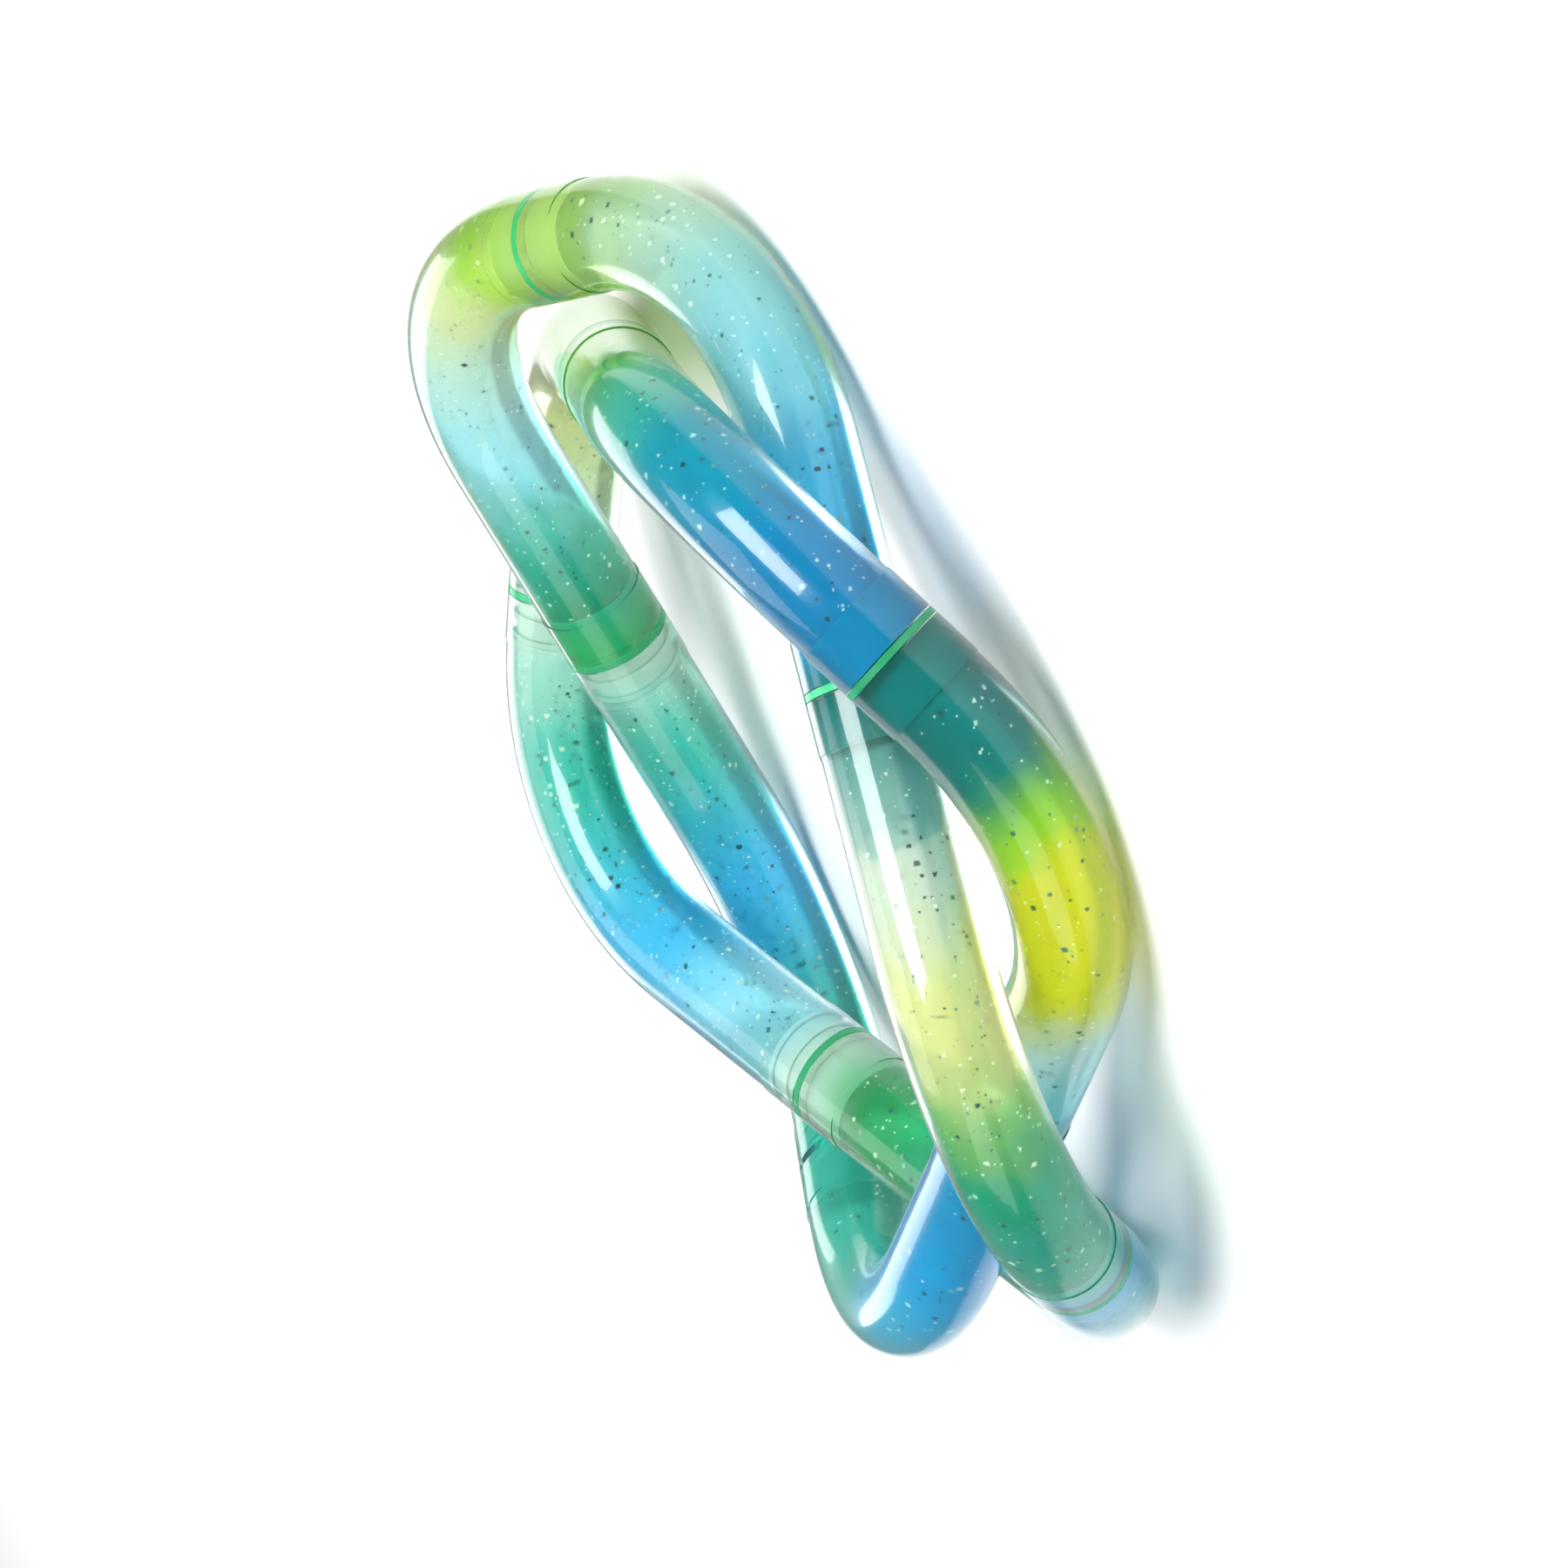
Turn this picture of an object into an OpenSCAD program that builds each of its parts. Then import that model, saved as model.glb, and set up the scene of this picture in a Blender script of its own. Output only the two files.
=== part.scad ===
// Twisty snake puzzle: ten identical clear tube links on snap swivels, wound twice into a twisted ring.
// The ring lies flat with its axis along Z and its centre at the origin. All sizes are in millimetres.

/* [Ring] */
// Radius of the ring at the outermost point of a tube's centreline
ring_r = 48; // [44:0.5:56]
// Tilt of a strand against the ring where it passes outside the other strand, in degrees
strand_tilt = 21; // [20:0.25:23]
// Half of the twist between two links that meet at an outer swivel, in degrees
outer_twist = 18.5; // [17.5:0.25:19.5]

/* [Tube] */
// Outside diameter of the clear tube
tube_d = 9.2; // [7.2:0.1:9.6]
// Inside diameter of the clear tube
bore_d = 5.8; // [5:0.1:6.4]
// Step of the cuff at each end of a tube over the tube itself
cuff_h = 0.1; // [0.05:0.05:0.2]
// Step of the plug's seat in each end of a tube over the bore
seat_h = 0.2; // [0.1:0.05:0.3]

/* [Swivel] */
// Diameter of the pin's shank
pin_d = 2.4; // [1.8:0.1:2.6]
// Diameter of the snap bead on the pin
bead_d = 2.9; // [2.3:0.1:3.1]
// Thickness of the flange ring between two links
flange_t = 0.6; // [0.4:0.1:1]
// Depth of the pin in a plug, from the plug's face
pin_reach = 3.2; // [2.6:0.1:3.6]
// Length of the snap bead along the pin
bead_len = 0.8; // [0.6:0.1:1]

/* [End plug] */
// Length of an end plug, which fills the straight stub of a link
plug_len = 4.2; // [3.9:0.1:5]
// Number of ribs that hold an end plug in its tube
plug_ribs = 3; // [2:1:4]
// Width of one rib
rib_w = 0.5; // [0.3:0.1:0.8]
// Depth of the groove between two ribs
rib_h = 0.35; // [0.2:0.05:0.5]

/* [Clearance] */
// Radial running clearance of a pin in a plug's socket
pin_clear = 0.06; // [0.02:0.01:0.1]
// Gap between the flange ring and each link
face_clear = 0.1; // [0.05:0.05:0.2]
// Radial clearance of the bead in its groove
bead_clear = 0.15; // [0.1:0.05:0.3]
// Gap between the gel, the plugs and the tube wall
fill_clear = 0.05; // [0.02:0.01:0.1]

/* [Hidden] */
$fn = 48;

// The two strands cross five times round the ring, so one link spans a fifth of a turn
crossings = 5;
link_turn = 360 / crossings;
links = 2 * crossings;
// The open swivel lies at the back of the ring, half a turn from the front crossing
first_link_azimuth = 3 * link_turn;

// A link starts at the outermost point and ends at the innermost point, one link_turn further round
outer_dir = [1, 0, 0];
inner_dir = [cos(link_turn), sin(link_turn), 0];
// Direction of the strand and of its bend at the outermost point
start_dir = [0, cos(strand_tilt), sin(strand_tilt)];
bend_dir = [
    -cos(outer_twist),
    sin(outer_twist) * sin(strand_tilt),
    -sin(outer_twist) * cos(strand_tilt)
];
// The bend stops where the strand is square to the radius at the innermost point
bend_angle = atan2(start_dir * inner_dir, -bend_dir * inner_dir);
end_dir = cos(bend_angle) * start_dir + sin(bend_angle) * bend_dir;

// The bend starts behind the plug that fills a link's straight stub
joint_half = flange_t / 2 + face_clear;
stub_len = joint_half + plug_len + fill_clear;

// Bend radius, straight run and innermost radius close the ring: three unknowns in three equations
bend_span = sin(bend_angle) * start_dir + (1 - cos(bend_angle)) * bend_dir;
start_point = ring_r * outer_dir;
stub_end = start_point + stub_len * start_dir;
det = bend_span * cross(end_dir, -inner_dir);
bend_r = -stub_end * cross(end_dir, -inner_dir) / det;
run_len = bend_span * cross(-stub_end, -inner_dir) / det;

bead_d_room = bead_d + 2 * bead_clear;
socket_d = pin_d + 2 * pin_clear;
bead_back = pin_reach - bead_len;
groove_back = bead_back - bead_clear;
groove_end = pin_reach + bead_clear;
cuff_d = tube_d + 2 * cuff_h;
seat_d = bore_d + 2 * seat_h;
plug_d = seat_d - 2 * fill_clear;
// The bend runs on inside a link's cuff for this length
bend_lead = plug_len / 4;

// Link colours round the ring, from yellow and green to cyan and blue
gel_colours = [
    "#8fd64a", "#3fc0c8", "#1f8fd8", "#2fb8a0", "#c8dc3c",
    "#58c878", "#9adcd8", "#5cc4e8", "#b4e05a", "#38b890"
];

function numbered(name, count) = [for (i = [1:count]) str(name, "_", i)];

// Puts a link's own frame in the ring: Y along the strand at its outer end, X towards the bend
module at_link(i) {
    side_dir = cross(bend_dir, start_dir);
    rotate([0, 0, first_link_azimuth + 2 * link_turn * floor((i - 1) / 2)])
        rotate(a = i % 2 == 0 ? 180 : 0, v = inner_dir)
            multmatrix([
                for (k = [0:2]) [bend_dir[k], start_dir[k], side_dir[k], start_point[k]]
            ])
                children();
}

// Frame at a link's inner end, with Y pointing back into the link
module at_inner_end() {
    translate([bend_r, stub_len, 0])
        rotate([0, 0, -bend_angle])
            translate([-bend_r, run_len, 0])
                rotate([0, 0, 180])
                    children();
}

// Round rod along a link's bend and straight run, from the given length of arc before the bend
module bent_rod(d, lead, inner_gap) {
    translate([bend_r, stub_len, 0])
        rotate([0, 0, 180 - bend_angle])
            rotate_extrude(angle = bend_angle + lead / bend_r * 180 / PI)
                translate([bend_r, 0])
                    circle(d = d);
    at_inner_end()
        translate([0, inner_gap, 0])
            rotate([-90, 0, 0])
                cylinder(d = d, h = run_len - inner_gap);
}

// Round rods along the straight ends of a link, from the given distance to the joint's centre
module end_rods(d, gap) {
    rotate([-90, 0, 0])
        end_rod(d, gap);
    at_inner_end()
        rotate([-90, 0, 0])
            end_rod(d, gap);
}

module end_rod(d, gap) {
    translate([0, 0, gap])
        cylinder(d = d, h = stub_len - gap);
}

// Clear tube of one link, open at both ends, with a cuff outside and a plug's seat inside each end
module link_tube(i) {
    color("#e8f6f4", 0.5)
        at_link(i)
            difference() {
                union() {
                    bent_rod(tube_d, bend_lead, joint_half + plug_len / 2);
                    end_rods(cuff_d, joint_half);
                }
                bent_rod(bore_d, bend_lead, joint_half + plug_len / 2);
                end_rods(seat_d, 0);
            }
}

// Coloured gel that fills a link between its two plugs
module gel_core(i) {
    color(gel_colours[i - 1])
        at_link(i)
            bent_rod(bore_d - 2 * fill_clear, 0, stub_len);
}

// Ribbed plug with a snap socket, its face at the origin and its length along Y
module end_plug() {
    rib_pitch = (plug_len - rib_w) / (plug_ribs - 1);
    rotate([-90, 0, 0])
        difference() {
            union() {
                cylinder(d = plug_d - 2 * rib_h, h = plug_len);
                for (r = [0:plug_ribs - 1])
                    translate([0, 0, r * rib_pitch])
                        cylinder(d = plug_d, h = rib_w);
            }
            translate([0, 0, -1])
                cylinder(d = socket_d, h = groove_end + 1);
            translate([0, 0, groove_back])
                cylinder(d = bead_d_room, h = groove_end - groove_back);
        }
}

module outer_plug(i) {
    color("#dfeef0")
        at_link(i)
            translate([0, joint_half, 0])
                end_plug();
}

module inner_plug(i) {
    color("#dfeef0")
        at_link(i)
            at_inner_end()
                translate([0, joint_half, 0])
                    end_plug();
}

// Half of a swivel pin, along Y from the joint's centre: half of the flange, the shank and its snap bead
module pin_half() {
    rotate([-90, 0, 0]) {
        cylinder(d = cuff_d, h = flange_t / 2);
        pin_shank(0);
    }
}

// Shank and snap bead of a pin that start at the given height and reach into a plug
module pin_shank(start) {
    tip = joint_half + pin_reach;
    translate([0, 0, start])
        cylinder(d = pin_d, h = tip - start);
    translate([0, 0, tip - bead_len])
        cylinder(d = bead_d, h = bead_len);
}

// Frame of the swivel between link i and the next one, with Y pointing back into link i
module at_swivel(i) {
    at_link(i)
        if (i % 2 == 1)
            at_inner_end()
                children();
        else
            children();
}

// Double pin of the swivel between link i and the next one
module swivel_pin(i) {
    color("#7fd47a")
        at_swivel(i) {
            pin_half();
            rotate([0, 0, 180])
                pin_half();
        }
}

// Single pin at the open swivel, seated in the last link with its free half unsnapped
module clasp_pin() {
    color("#7fd47a")
        at_swivel(links)
            rotate([-90, 0, 0])
                pin_shank(joint_half);
}

for (i = [1:links]) {
    link_tube(i);
    gel_core(i);
    outer_plug(i);
    inner_plug(i);
}
for (i = [1:links - 1]) {
    swivel_pin(i);
}
clasp_pin();
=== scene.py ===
import math
from collections import namedtuple

import bpy
from mathutils import Matrix, Vector


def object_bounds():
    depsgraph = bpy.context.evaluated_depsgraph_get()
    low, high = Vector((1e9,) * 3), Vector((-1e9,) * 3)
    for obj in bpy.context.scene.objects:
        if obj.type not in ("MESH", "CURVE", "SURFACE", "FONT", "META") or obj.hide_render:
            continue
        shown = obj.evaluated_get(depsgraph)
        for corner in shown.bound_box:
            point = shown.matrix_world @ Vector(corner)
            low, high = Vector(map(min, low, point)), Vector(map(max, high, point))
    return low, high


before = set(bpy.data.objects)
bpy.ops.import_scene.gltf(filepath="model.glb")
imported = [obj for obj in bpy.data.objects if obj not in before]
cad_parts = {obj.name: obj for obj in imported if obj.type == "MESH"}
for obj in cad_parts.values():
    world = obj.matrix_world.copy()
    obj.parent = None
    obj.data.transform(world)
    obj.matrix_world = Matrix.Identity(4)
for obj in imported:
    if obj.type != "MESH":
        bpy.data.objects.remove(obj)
CAD_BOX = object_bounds()

# Sizes of the winding, in metres and radians, as in the solids
LINKS = 10
RING_R = 0.048
TILT = math.radians(21)
TWIST = math.radians(18.5)
# Straight stub at a link's ends, which holds its plug
STUB = 0.00465
# Angle that one link spans, and where link 1 starts
TURN = math.radians(72)
FIRST = math.radians(216)
FLOOR_Z = CAD_BOX[0][2]
# Steps of a link's centreline along its bend and along its straight run
BEND_STEPS = 64
RUN_STEPS = 12


# Directions, bend angle, bend radius and run of a link whose outer end lies on +X
def link_frame():
    start = Vector((0, math.cos(TILT), math.sin(TILT)))
    bend = Vector((
        -math.cos(TWIST),
        math.sin(TWIST) * math.sin(TILT),
        -math.sin(TWIST) * math.cos(TILT),
    ))
    inner = Vector((math.cos(TURN), math.sin(TURN), 0))
    angle = math.atan2(start.dot(inner), -bend.dot(inner))
    end = math.cos(angle) * start + math.sin(angle) * bend
    span = math.sin(angle) * start + (1 - math.cos(angle)) * bend
    stub_end = Vector((RING_R, 0, 0)) + STUB * start
    solved = Matrix((span, end, -inner)).transposed().inverted() @ -stub_end
    return start, bend, end, angle, solved[0], solved[1], inner


# Centreline of a link, from its outer to its inner end
def centreline(number):
    start, bend, end, angle, radius, run, inner = link_frame()
    origin = Vector((RING_R, 0, 0))
    stub_end = origin + STUB * start
    points = [origin, stub_end]
    for k in range(1, BEND_STEPS + 1):
        a = angle * k / BEND_STEPS
        points.append(stub_end + radius * (math.sin(a) * start + (1 - math.cos(a)) * bend))
    bend_end = points[-1]
    for k in range(1, RUN_STEPS + 1):
        points.append(bend_end + end * run * k / RUN_STEPS)
    place = Matrix.Rotation(FIRST + 2 * TURN * ((number - 1) // 2), 3, "Z")
    if number % 2 == 0:
        place = place @ Matrix.Rotation(math.pi, 3, inner)
    return [place @ p for p in points]


# Node helpers
def new_material(name):
    mat = bpy.data.materials.new(name)
    mat.use_nodes = True
    nodes = mat.node_tree.nodes
    coords = nodes.new("ShaderNodeTexCoord").outputs["Object"]
    return mat, nodes, mat.node_tree.links, nodes["Principled BSDF"], coords


def math_node(nodes, links, operation, a, b):
    node = nodes.new("ShaderNodeMath")
    node.operation = operation
    for socket, value in zip(node.inputs, (a, b)):
        if hasattr(value, "is_output"):
            links.new(value, socket)
        else:
            socket.default_value = value
    return node.outputs[0]


def ramp_node(nodes, links, factor, stops, mode="LINEAR"):
    node = nodes.new("ShaderNodeValToRGB")
    node.color_ramp.interpolation = mode
    elements = node.color_ramp.elements
    while len(elements) < len(stops):
        elements.new(0.5)
    for element, (at, colour) in zip(elements, stops):
        element.position = at
        element.color = (*colour, 1)
    links.new(factor, node.inputs[0])
    return node.outputs[0]


def noise_node(nodes, links, coords, scale, detail=2.0):
    node = nodes.new("ShaderNodeTexNoise")
    node.inputs["Scale"].default_value = scale
    node.inputs["Detail"].default_value = detail
    links.new(coords, node.inputs["Vector"])
    return node.outputs[0]


# Place along a link, from 0 at its start to 1 at its end, read from the angle round the ring.
# The link's middle is turned to half of the radial gradient, and waver blurs the place with noise.
def along_link(nodes, links, coords, number, waver):
    half_span = TURN / (2 * math.tau)
    turn = nodes.new("ShaderNodeMapping")
    turn.inputs["Rotation"].default_value = (0, 0, -(FIRST + TURN * (number - 0.5)))
    links.new(coords, turn.inputs["Vector"])
    radial = nodes.new("ShaderNodeTexGradient")
    radial.gradient_type = "RADIAL"
    links.new(turn.outputs[0], radial.inputs[0])
    along = nodes.new("ShaderNodeMapRange")
    along.inputs["From Min"].default_value = 0.5 - half_span
    along.inputs["From Max"].default_value = 0.5 + half_span
    along.inputs["To Min"].default_value = -waver / 2
    along.inputs["To Max"].default_value = 1 - waver / 2
    along.clamp = False
    links.new(radial.outputs["Fac"], along.inputs["Value"])
    wave = noise_node(nodes, links, coords, scale=120.0, detail=3.0)
    shifted = math_node(nodes, links, "MULTIPLY_ADD", wave, waver)
    links.new(along.outputs[0], shifted.node.inputs[2])
    return shifted


def towards_white(colour, share):
    return tuple(c + (1 - c) * share for c in colour)


# Share of a link by which noise moves the colours of its wall, its gel and its ends
WALL_WAVER = 0.10
GEL_WAVER = 0.24
END_WAVER = 0.06
# Share of white in the wall's tint
WALL_PALENESS = 0.46


# Clear tube wall, with a breath of the gel's colour
def tube_material(number, stops):
    mat, nodes, links, bsdf, coords = new_material(f"clear_tube_{number}")
    place = along_link(nodes, links, coords, number, WALL_WAVER)
    pale = [(at, towards_white(colour, WALL_PALENESS)) for at, colour in stops]
    links.new(ramp_node(nodes, links, place, pale, "EASE"), bsdf.inputs["Base Color"])
    soft = noise_node(nodes, links, coords, scale=90.0)
    rough = nodes.new("ShaderNodeMapRange")
    rough.inputs["To Min"].default_value = 0.16
    rough.inputs["To Max"].default_value = 0.26
    links.new(soft, rough.inputs["Value"])
    links.new(rough.outputs[0], bsdf.inputs["Roughness"])
    bump = nodes.new("ShaderNodeBump")
    bump.inputs["Strength"].default_value = 0.05
    bump.inputs["Distance"].default_value = 0.0004
    links.new(noise_node(nodes, links, coords, scale=160.0, detail=1.0), bump.inputs["Height"])
    links.new(bump.outputs[0], bsdf.inputs["Normal"])
    bsdf.inputs["Transmission Weight"].default_value = 1.0
    bsdf.inputs["IOR"].default_value = 1.33
    bsdf.inputs["Specular IOR Level"].default_value = 0.15
    bsdf.inputs["Coat Weight"].default_value = 0.5
    bsdf.inputs["Coat Roughness"].default_value = 0.05
    bsdf.inputs["Coat IOR"].default_value = 1.5
    return mat


# Skin of the bore, wetted by the gel: a faint haze that does not bend light
def bore_material():
    mat, nodes, links, bsdf, coords = new_material("bore_skin")
    soft = noise_node(nodes, links, coords, scale=120.0)
    tint = ramp_node(nodes, links, soft, [(0.3, (0.80, 0.93, 0.95)), (0.7, (0.95, 1.0, 0.98))])
    links.new(tint, bsdf.inputs["Base Color"])
    haze = nodes.new("ShaderNodeMapRange")
    haze.inputs["To Min"].default_value = 0.0
    haze.inputs["To Max"].default_value = 0.008
    links.new(soft, haze.inputs["Value"])
    links.new(haze.outputs[0], bsdf.inputs["Alpha"])
    bsdf.inputs["Roughness"].default_value = 0.6
    bsdf.inputs["Specular IOR Level"].default_value = 0.0
    return mat


# Least reach of a speck in its cell
SPECK_CORE = 0.04


# Small angular specks: their mask, and a tone that differs from speck to speck
def specks(nodes, links, coords, scale, reach, share):
    lean = nodes.new("ShaderNodeMapping")
    lean.inputs["Rotation"].default_value = (0.5, 0.7, 0.3)
    links.new(coords, lean.inputs["Vector"])
    cells = nodes.new("ShaderNodeTexVoronoi")
    cells.distance = "CHEBYCHEV"
    cells.inputs["Scale"].default_value = scale
    links.new(lean.outputs[0], cells.inputs["Vector"])
    parts = nodes.new("ShaderNodeSeparateColor")
    links.new(cells.outputs["Color"], parts.inputs[0])
    size = math_node(nodes, links, "MULTIPLY_ADD", parts.outputs[2], reach)
    size.node.inputs[2].default_value = SPECK_CORE
    small = math_node(nodes, links, "LESS_THAN", cells.outputs["Distance"], size)
    chosen = math_node(nodes, links, "GREATER_THAN", parts.outputs[0], 1.0 - share)
    return math_node(nodes, links, "MULTIPLY", small, chosen), parts.outputs[1]


# Fine dust and larger flakes of glitter: cells per metre, reach beyond the core, share of the cells
GLITTER = ((3000.0, 0.28, 0.32), (1350.0, 0.24, 0.55))
GLITTER_TONES = [
    (0.0, (0.01, 0.05, 0.05)),
    (0.45, (0.05, 0.18, 0.15)),
    (0.65, (0.6, 0.85, 0.75)),
    (1.0, (1.0, 1.0, 0.85)),
]


# Gel of a link, with flakes of glitter in fine dust
def gel_material(number, gel):
    mat, nodes, links, bsdf, coords = new_material(f"gel_{number}")
    place = along_link(nodes, links, coords, number, GEL_WAVER)
    colour = ramp_node(nodes, links, place, gel.stops, "EASE")
    masks = []
    for scale, reach, share in GLITTER:
        mask, tone = specks(nodes, links, coords, scale, reach, share * gel.flakes)
        shine = ramp_node(nodes, links, tone, GLITTER_TONES)
        mix = nodes.new("ShaderNodeMix")
        mix.data_type = "RGBA"
        links.new(mask, mix.inputs["Factor"])
        links.new(colour, mix.inputs["A"])
        links.new(shine, mix.inputs["B"])
        colour = mix.outputs["Result"]
        masks.append(mask)
    links.new(colour, bsdf.inputs["Base Color"])
    through = math_node(nodes, links, "SUBTRACT", 1.0, math_node(nodes, links, "MAXIMUM", *masks))
    links.new(math_node(nodes, links, "MULTIPLY", through, gel.clear), bsdf.inputs["Transmission Weight"])
    bsdf.inputs["IOR"].default_value = 1.0
    bsdf.inputs["Roughness"].default_value = 0.05
    return mat


# What lies at a link's ends, tinted like the gel beside it
def end_material(name, number, stops, transmission, roughness):
    mat, nodes, links, bsdf, coords = new_material(f"{name}_{number}")
    place = along_link(nodes, links, coords, number, END_WAVER)
    links.new(ramp_node(nodes, links, place, stops, "EASE"), bsdf.inputs["Base Color"])
    bsdf.inputs["Transmission Weight"].default_value = transmission
    bsdf.inputs["IOR"].default_value = 1.0
    bsdf.inputs["Roughness"].default_value = roughness
    return mat


# Skin of a plug's seat in the deep-coloured links, where gel hides the plug
def seat_material(number, stops):
    return end_material("seat_skin", number, stops, transmission=0.3, roughness=0.3)


# End plugs: nearly solid
def plug_material(number, stops):
    return end_material("plug", number, stops, transmission=0.2, roughness=0.2)


# Swivel pins: moulded green plastic
def pin_material():
    mat, nodes, links, bsdf, coords = new_material("pin_plastic")
    soft = noise_node(nodes, links, coords, scale=300.0)
    tint = ramp_node(nodes, links, soft, [(0.3, (0.06, 0.74, 0.32)), (0.7, (0.18, 0.90, 0.48))])
    links.new(tint, bsdf.inputs["Base Color"])
    bsdf.inputs["Roughness"].default_value = 0.15
    bsdf.inputs["Transmission Weight"].default_value = 0.75
    bsdf.inputs["IOR"].default_value = 1.25
    return mat


# Colours of the gel, and one painted shade that a link's gel carries
AZURE = (0.0, 0.43, 0.68)
BLUE = (0.0, 0.50, 0.76)
SKY = (0.12, 0.68, 0.92)
PALE = (0.50, 0.88, 0.94)
CYAN = (0.0, 0.58, 0.88)
LAGOON = (0.0, 0.52, 0.66)
TEAL = (0.0, 0.37, 0.35)
AQUA = (0.10, 0.68, 0.56)
FOAM = (0.70, 0.90, 0.79)
GREEN = (0.06, 0.64, 0.27)
JADE = (0.02, 0.62, 0.40)
APPLE = (0.40, 0.76, 0.30)
LIME = (0.46, 0.80, 0.06)
MELON = (0.62, 0.85, 0.30)
YELLOW = (0.82, 0.86, 0.03)
STRAW = (0.82, 0.87, 0.46)
MILK = (0.72, 0.90, 0.90)
CLEAR = (0.78, 0.88, 0.76)
# Painted shade: grey-teal that stands in for a dark thing behind, seen bent through the tube, not a
# colour of the gel
SHADE_SEEN_THROUGH = (0.44, 0.68, 0.62)

# Gel of a link: its colours from the link's start to its end, how clear it is, and its share of glitter
Gel = namedtuple("Gel", "stops clear flakes")
GELS = {
    1: Gel(
        [(0.0, AQUA), (0.25, AQUA), (0.45, SKY), (0.70, CYAN), (1.0, BLUE)],
        clear=0.45, flakes=0.35,
    ),
    2: Gel(
        [
            (0.0, SKY), (0.14, PALE), (0.34, MILK), (0.43, STRAW), (0.47, YELLOW),
            (0.66, YELLOW), (0.72, LIME), (0.84, TEAL), (1.0, TEAL),
        ],
        clear=0.5, flakes=0.45,
    ),
    3: Gel(
        [
            (0.0, AZURE), (0.18, AZURE), (0.34, LAGOON), (0.50, AQUA), (0.62, GREEN),
            (0.80, LIME), (1.0, MELON),
        ],
        clear=0.42, flakes=0.45,
    ),
    4: Gel(
        [(0.0, MELON), (0.3, LIME), (0.6, STRAW), (1.0, FOAM)],
        clear=0.62, flakes=0.7,
    ),
    5: Gel(
        [(0.0, FOAM), (0.25, AQUA), (0.55, SKY), (0.85, PALE), (1.0, FOAM)],
        clear=0.62, flakes=0.8,
    ),
    6: Gel(
        [(0.0, FOAM), (0.2, GREEN), (0.45, AQUA), (0.75, PALE), (1.0, SKY)],
        clear=0.58, flakes=0.7,
    ),
    # Link 7 ends in painted shade: a sharp edge at 0.74 to 0.76 leads into a grey-teal band that stands
    # in for a dark thing seen through the tube
    7: Gel(
        [
            (0.0, SKY), (0.06, AQUA), (0.15, AQUA), (0.26, JADE), (0.35, APPLE), (0.44, STRAW),
            (0.56, STRAW), (0.64, CLEAR), (0.74, CLEAR), (0.76, SHADE_SEEN_THROUGH), (1.0, TEAL),
        ],
        clear=0.58, flakes=0.6,
    ),
    8: Gel(
        [
            (0.0, TEAL), (0.10, BLUE), (0.30, SKY), (0.55, PALE), (0.80, FOAM),
            (0.90, MELON), (1.0, MELON),
        ],
        clear=0.6, flakes=0.55,
    ),
    9: Gel(
        [
            (0.0, MELON), (0.10, LIME), (0.20, STRAW), (0.36, FOAM), (0.60, PALE),
            (0.80, AQUA), (1.0, GREEN),
        ],
        clear=0.62, flakes=0.6,
    ),
    10: Gel(
        [(0.0, FOAM), (0.25, AQUA), (0.55, SKY), (0.8, AQUA), (1.0, AQUA)],
        clear=0.58, flakes=0.7,
    ),
}
# Links whose gel hides the plugs at their ends
DEEP_LINKS = (1, 2, 3, 6, 7, 8, 9)

# A tube's face belongs to the bore where its normal points this much towards the centreline
INWARD = -0.4
# Length of tube, from a link's end, that counts as the plug's seat
SEAT_REACH = STUB + 0.0005
# Slots of a tube's materials
BORE_SLOT = 1
SEAT_SLOT = 2

bore = bore_material()
pin = pin_material()


# Gives a solid its materials, with all its faces smooth and in the first slot
def dress(node, *materials):
    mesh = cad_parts[node].data
    mesh.materials.clear()
    for mat in materials:
        mesh.materials.append(mat)
    for face in mesh.polygons:
        face.material_index = 0
        face.use_smooth = True
    return mesh


for number in range(1, LINKS + 1):
    gel = GELS[number]
    seat = seat_material(number, gel.stops) if number in DEEP_LINKS else bore
    mesh = dress(f"link_tube_{number}", tube_material(number, gel.stops), bore, seat)
    line = centreline(number)
    ends = (line[0], line[-1])
    for face in mesh.polygons:
        nearest = min(line, key=lambda p: (p - face.center).length_squared)
        if (face.center - nearest).normalized().dot(face.normal) < INWARD:
            near_end = min((face.center - end).length for end in ends) < SEAT_REACH
            face.material_index = SEAT_SLOT if near_end else BORE_SLOT
    dress(f"gel_core_{number}", gel_material(number, gel))
    plug = plug_material(number, gel.stops)
    dress(f"outer_plug_{number}", plug)
    dress(f"inner_plug_{number}", plug)
for number in range(1, LINKS):
    dress(f"swivel_pin_{number}", pin)
dress("clasp_pin", pin)


# Pale floor under the ring
def floor_material():
    mat, nodes, links, bsdf, coords = new_material("pale_floor")
    soft = noise_node(nodes, links, coords, scale=4.0)
    tint = ramp_node(nodes, links, soft, [(0.3, (0.86, 0.86, 0.87)), (0.7, (0.88, 0.88, 0.88))])
    links.new(tint, bsdf.inputs["Base Color"])
    bsdf.inputs["Roughness"].default_value = 0.7
    return mat


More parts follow.
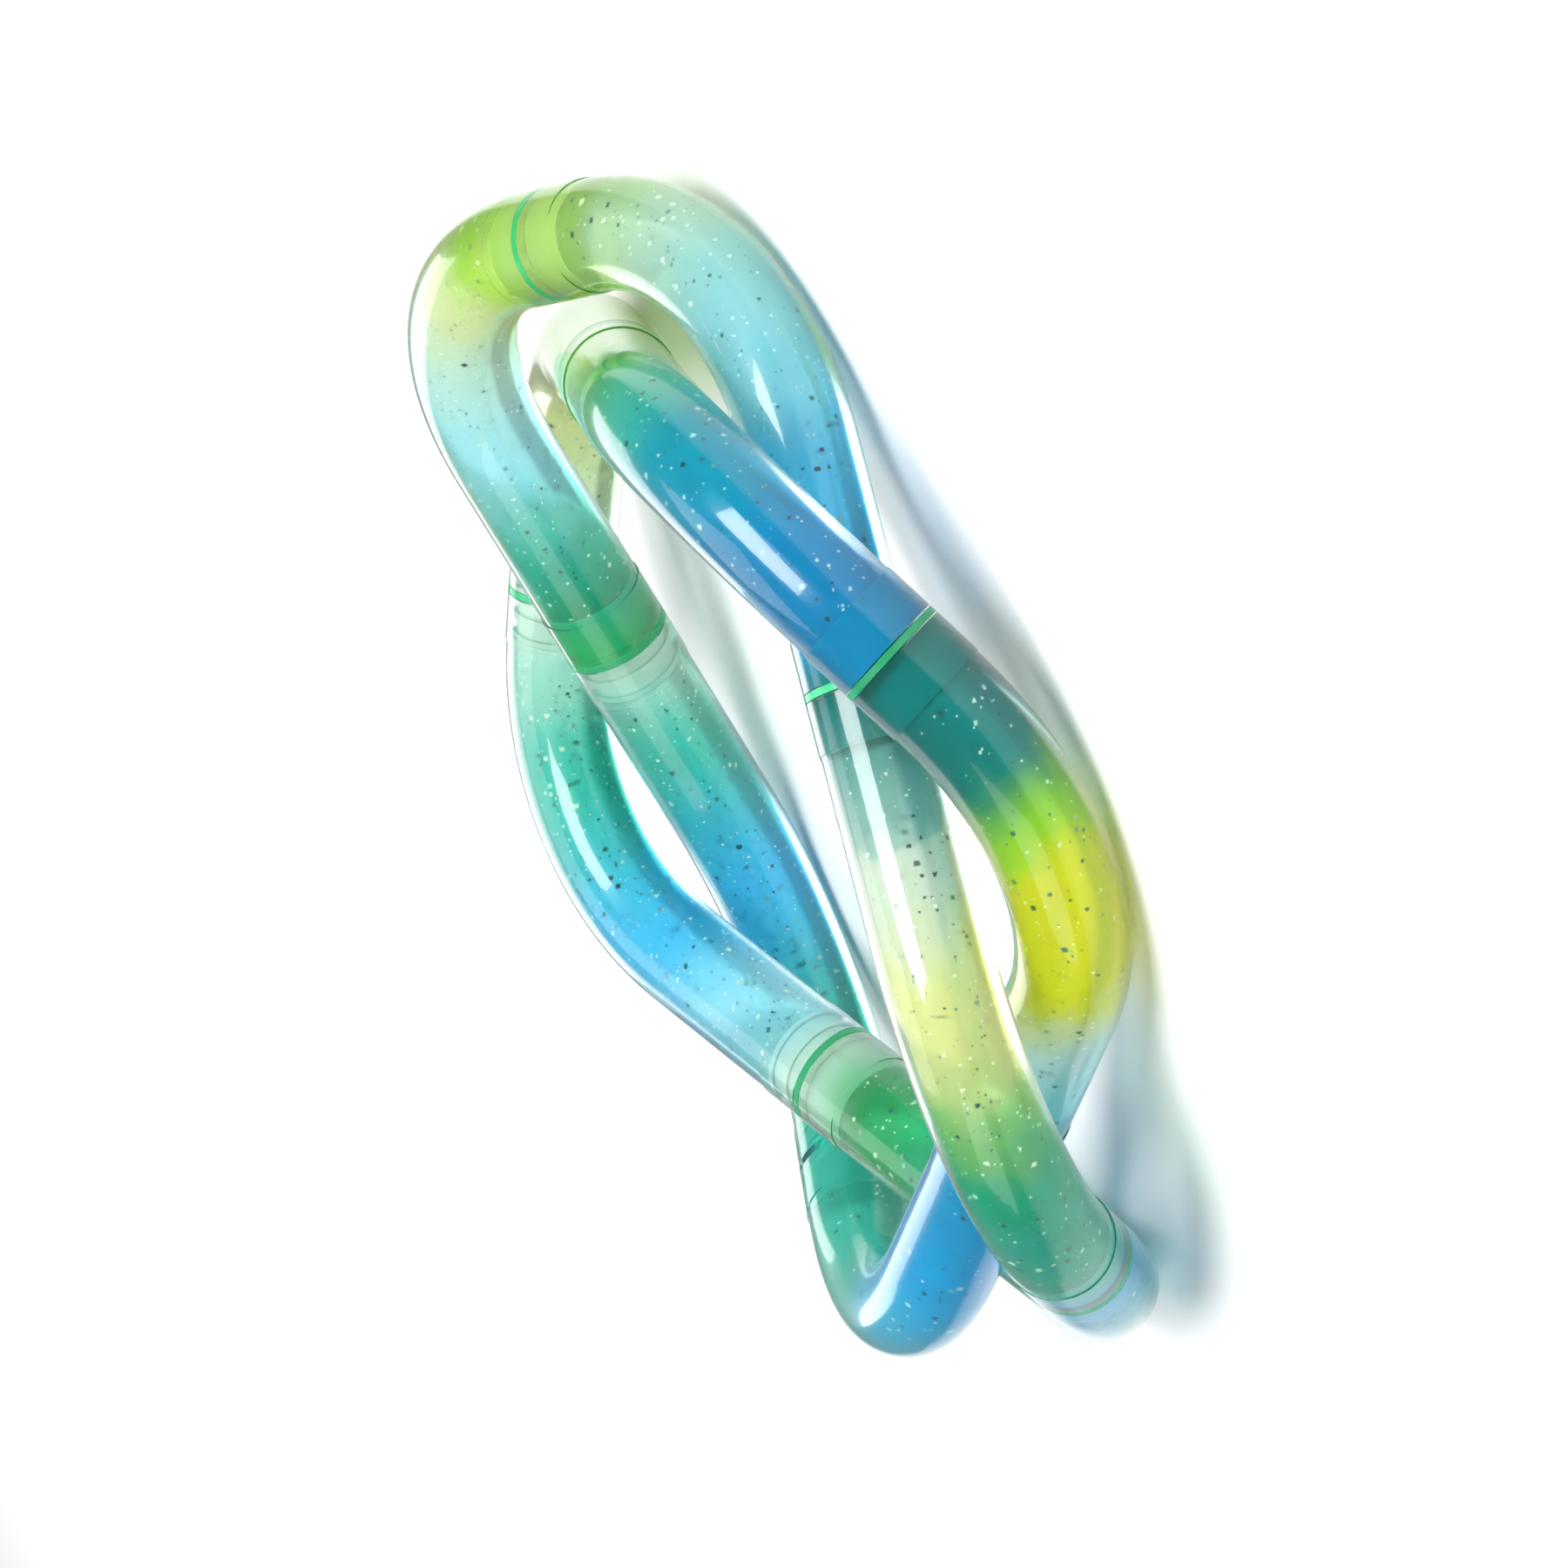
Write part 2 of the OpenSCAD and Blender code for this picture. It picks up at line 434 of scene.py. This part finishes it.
FLOOR_SIZE = 12
FLOOR_GAP = 0.0002
bpy.ops.mesh.primitive_plane_add(size=FLOOR_SIZE, location=(0, 0, FLOOR_Z - FLOOR_GAP))
floor = bpy.context.object
floor.name = "floor"
floor.data.materials.append(floor_material())

# Camera at the photograph's angle, turned on its side as the worn ring is
TO_CAMERA = Vector((0.964, -0.111, 0.243)).normalized()
UP = Vector((0.206, 0.887, -0.413))
RIGHT = UP.cross(TO_CAMERA).normalized()
UP = TO_CAMERA.cross(RIGHT).normalized()
DISTANCE = 0.65
VIEW_WIDTH = 0.128
SENSOR_MM = 36
camera = bpy.data.objects.new("camera", bpy.data.cameras.new("camera"))
bpy.context.collection.objects.link(camera)
turned = Matrix((RIGHT, UP, TO_CAMERA)).transposed().to_4x4()
camera.matrix_world = Matrix.Translation(TO_CAMERA * DISTANCE) @ turned
camera.data.sensor_width = SENSOR_MM
camera.data.lens = SENSOR_MM * DISTANCE / VIEW_WIDTH
camera.data.clip_start = 0.01
bpy.context.scene.camera = camera


# Soft studio light: lamps that face the ring's centre, with sizes in metres and power in watts
def softbox(name, direction, distance, size, power):
    light = bpy.data.lights.new(name, "AREA")
    light.shape = "RECTANGLE"
    light.size, light.size_y = size
    light.energy = power
    lamp = bpy.data.objects.new(name, light)
    bpy.context.collection.objects.link(lamp)
    lamp.location = Vector(direction).normalized() * distance
    lamp.rotation_euler = (-lamp.location).to_track_quat("-Z", "Y").to_euler()


softbox("key", direction=(0.75, 0.35, 0.9), distance=0.8, size=(0.5, 0.36), power=8.5)
softbox("fill", direction=(0.3, -0.9, 0.6), distance=0.9, size=(0.7, 0.5), power=2.2)
softbox("top", direction=(-0.2, 0.1, 1.0), distance=0.9, size=(0.6, 0.6), power=2.8)
softbox("back", direction=(-0.9, 0.3, 0.5), distance=0.9, size=(0.6, 0.4), power=2.5)

world = bpy.data.worlds.new("studio")
world.use_nodes = True
background = world.node_tree.nodes["Background"]
background.inputs["Color"].default_value = (1.0, 1.0, 1.0, 1)
background.inputs["Strength"].default_value = 0.32
bpy.context.scene.world = world
bpy.context.scene.view_settings.view_transform = "Standard"
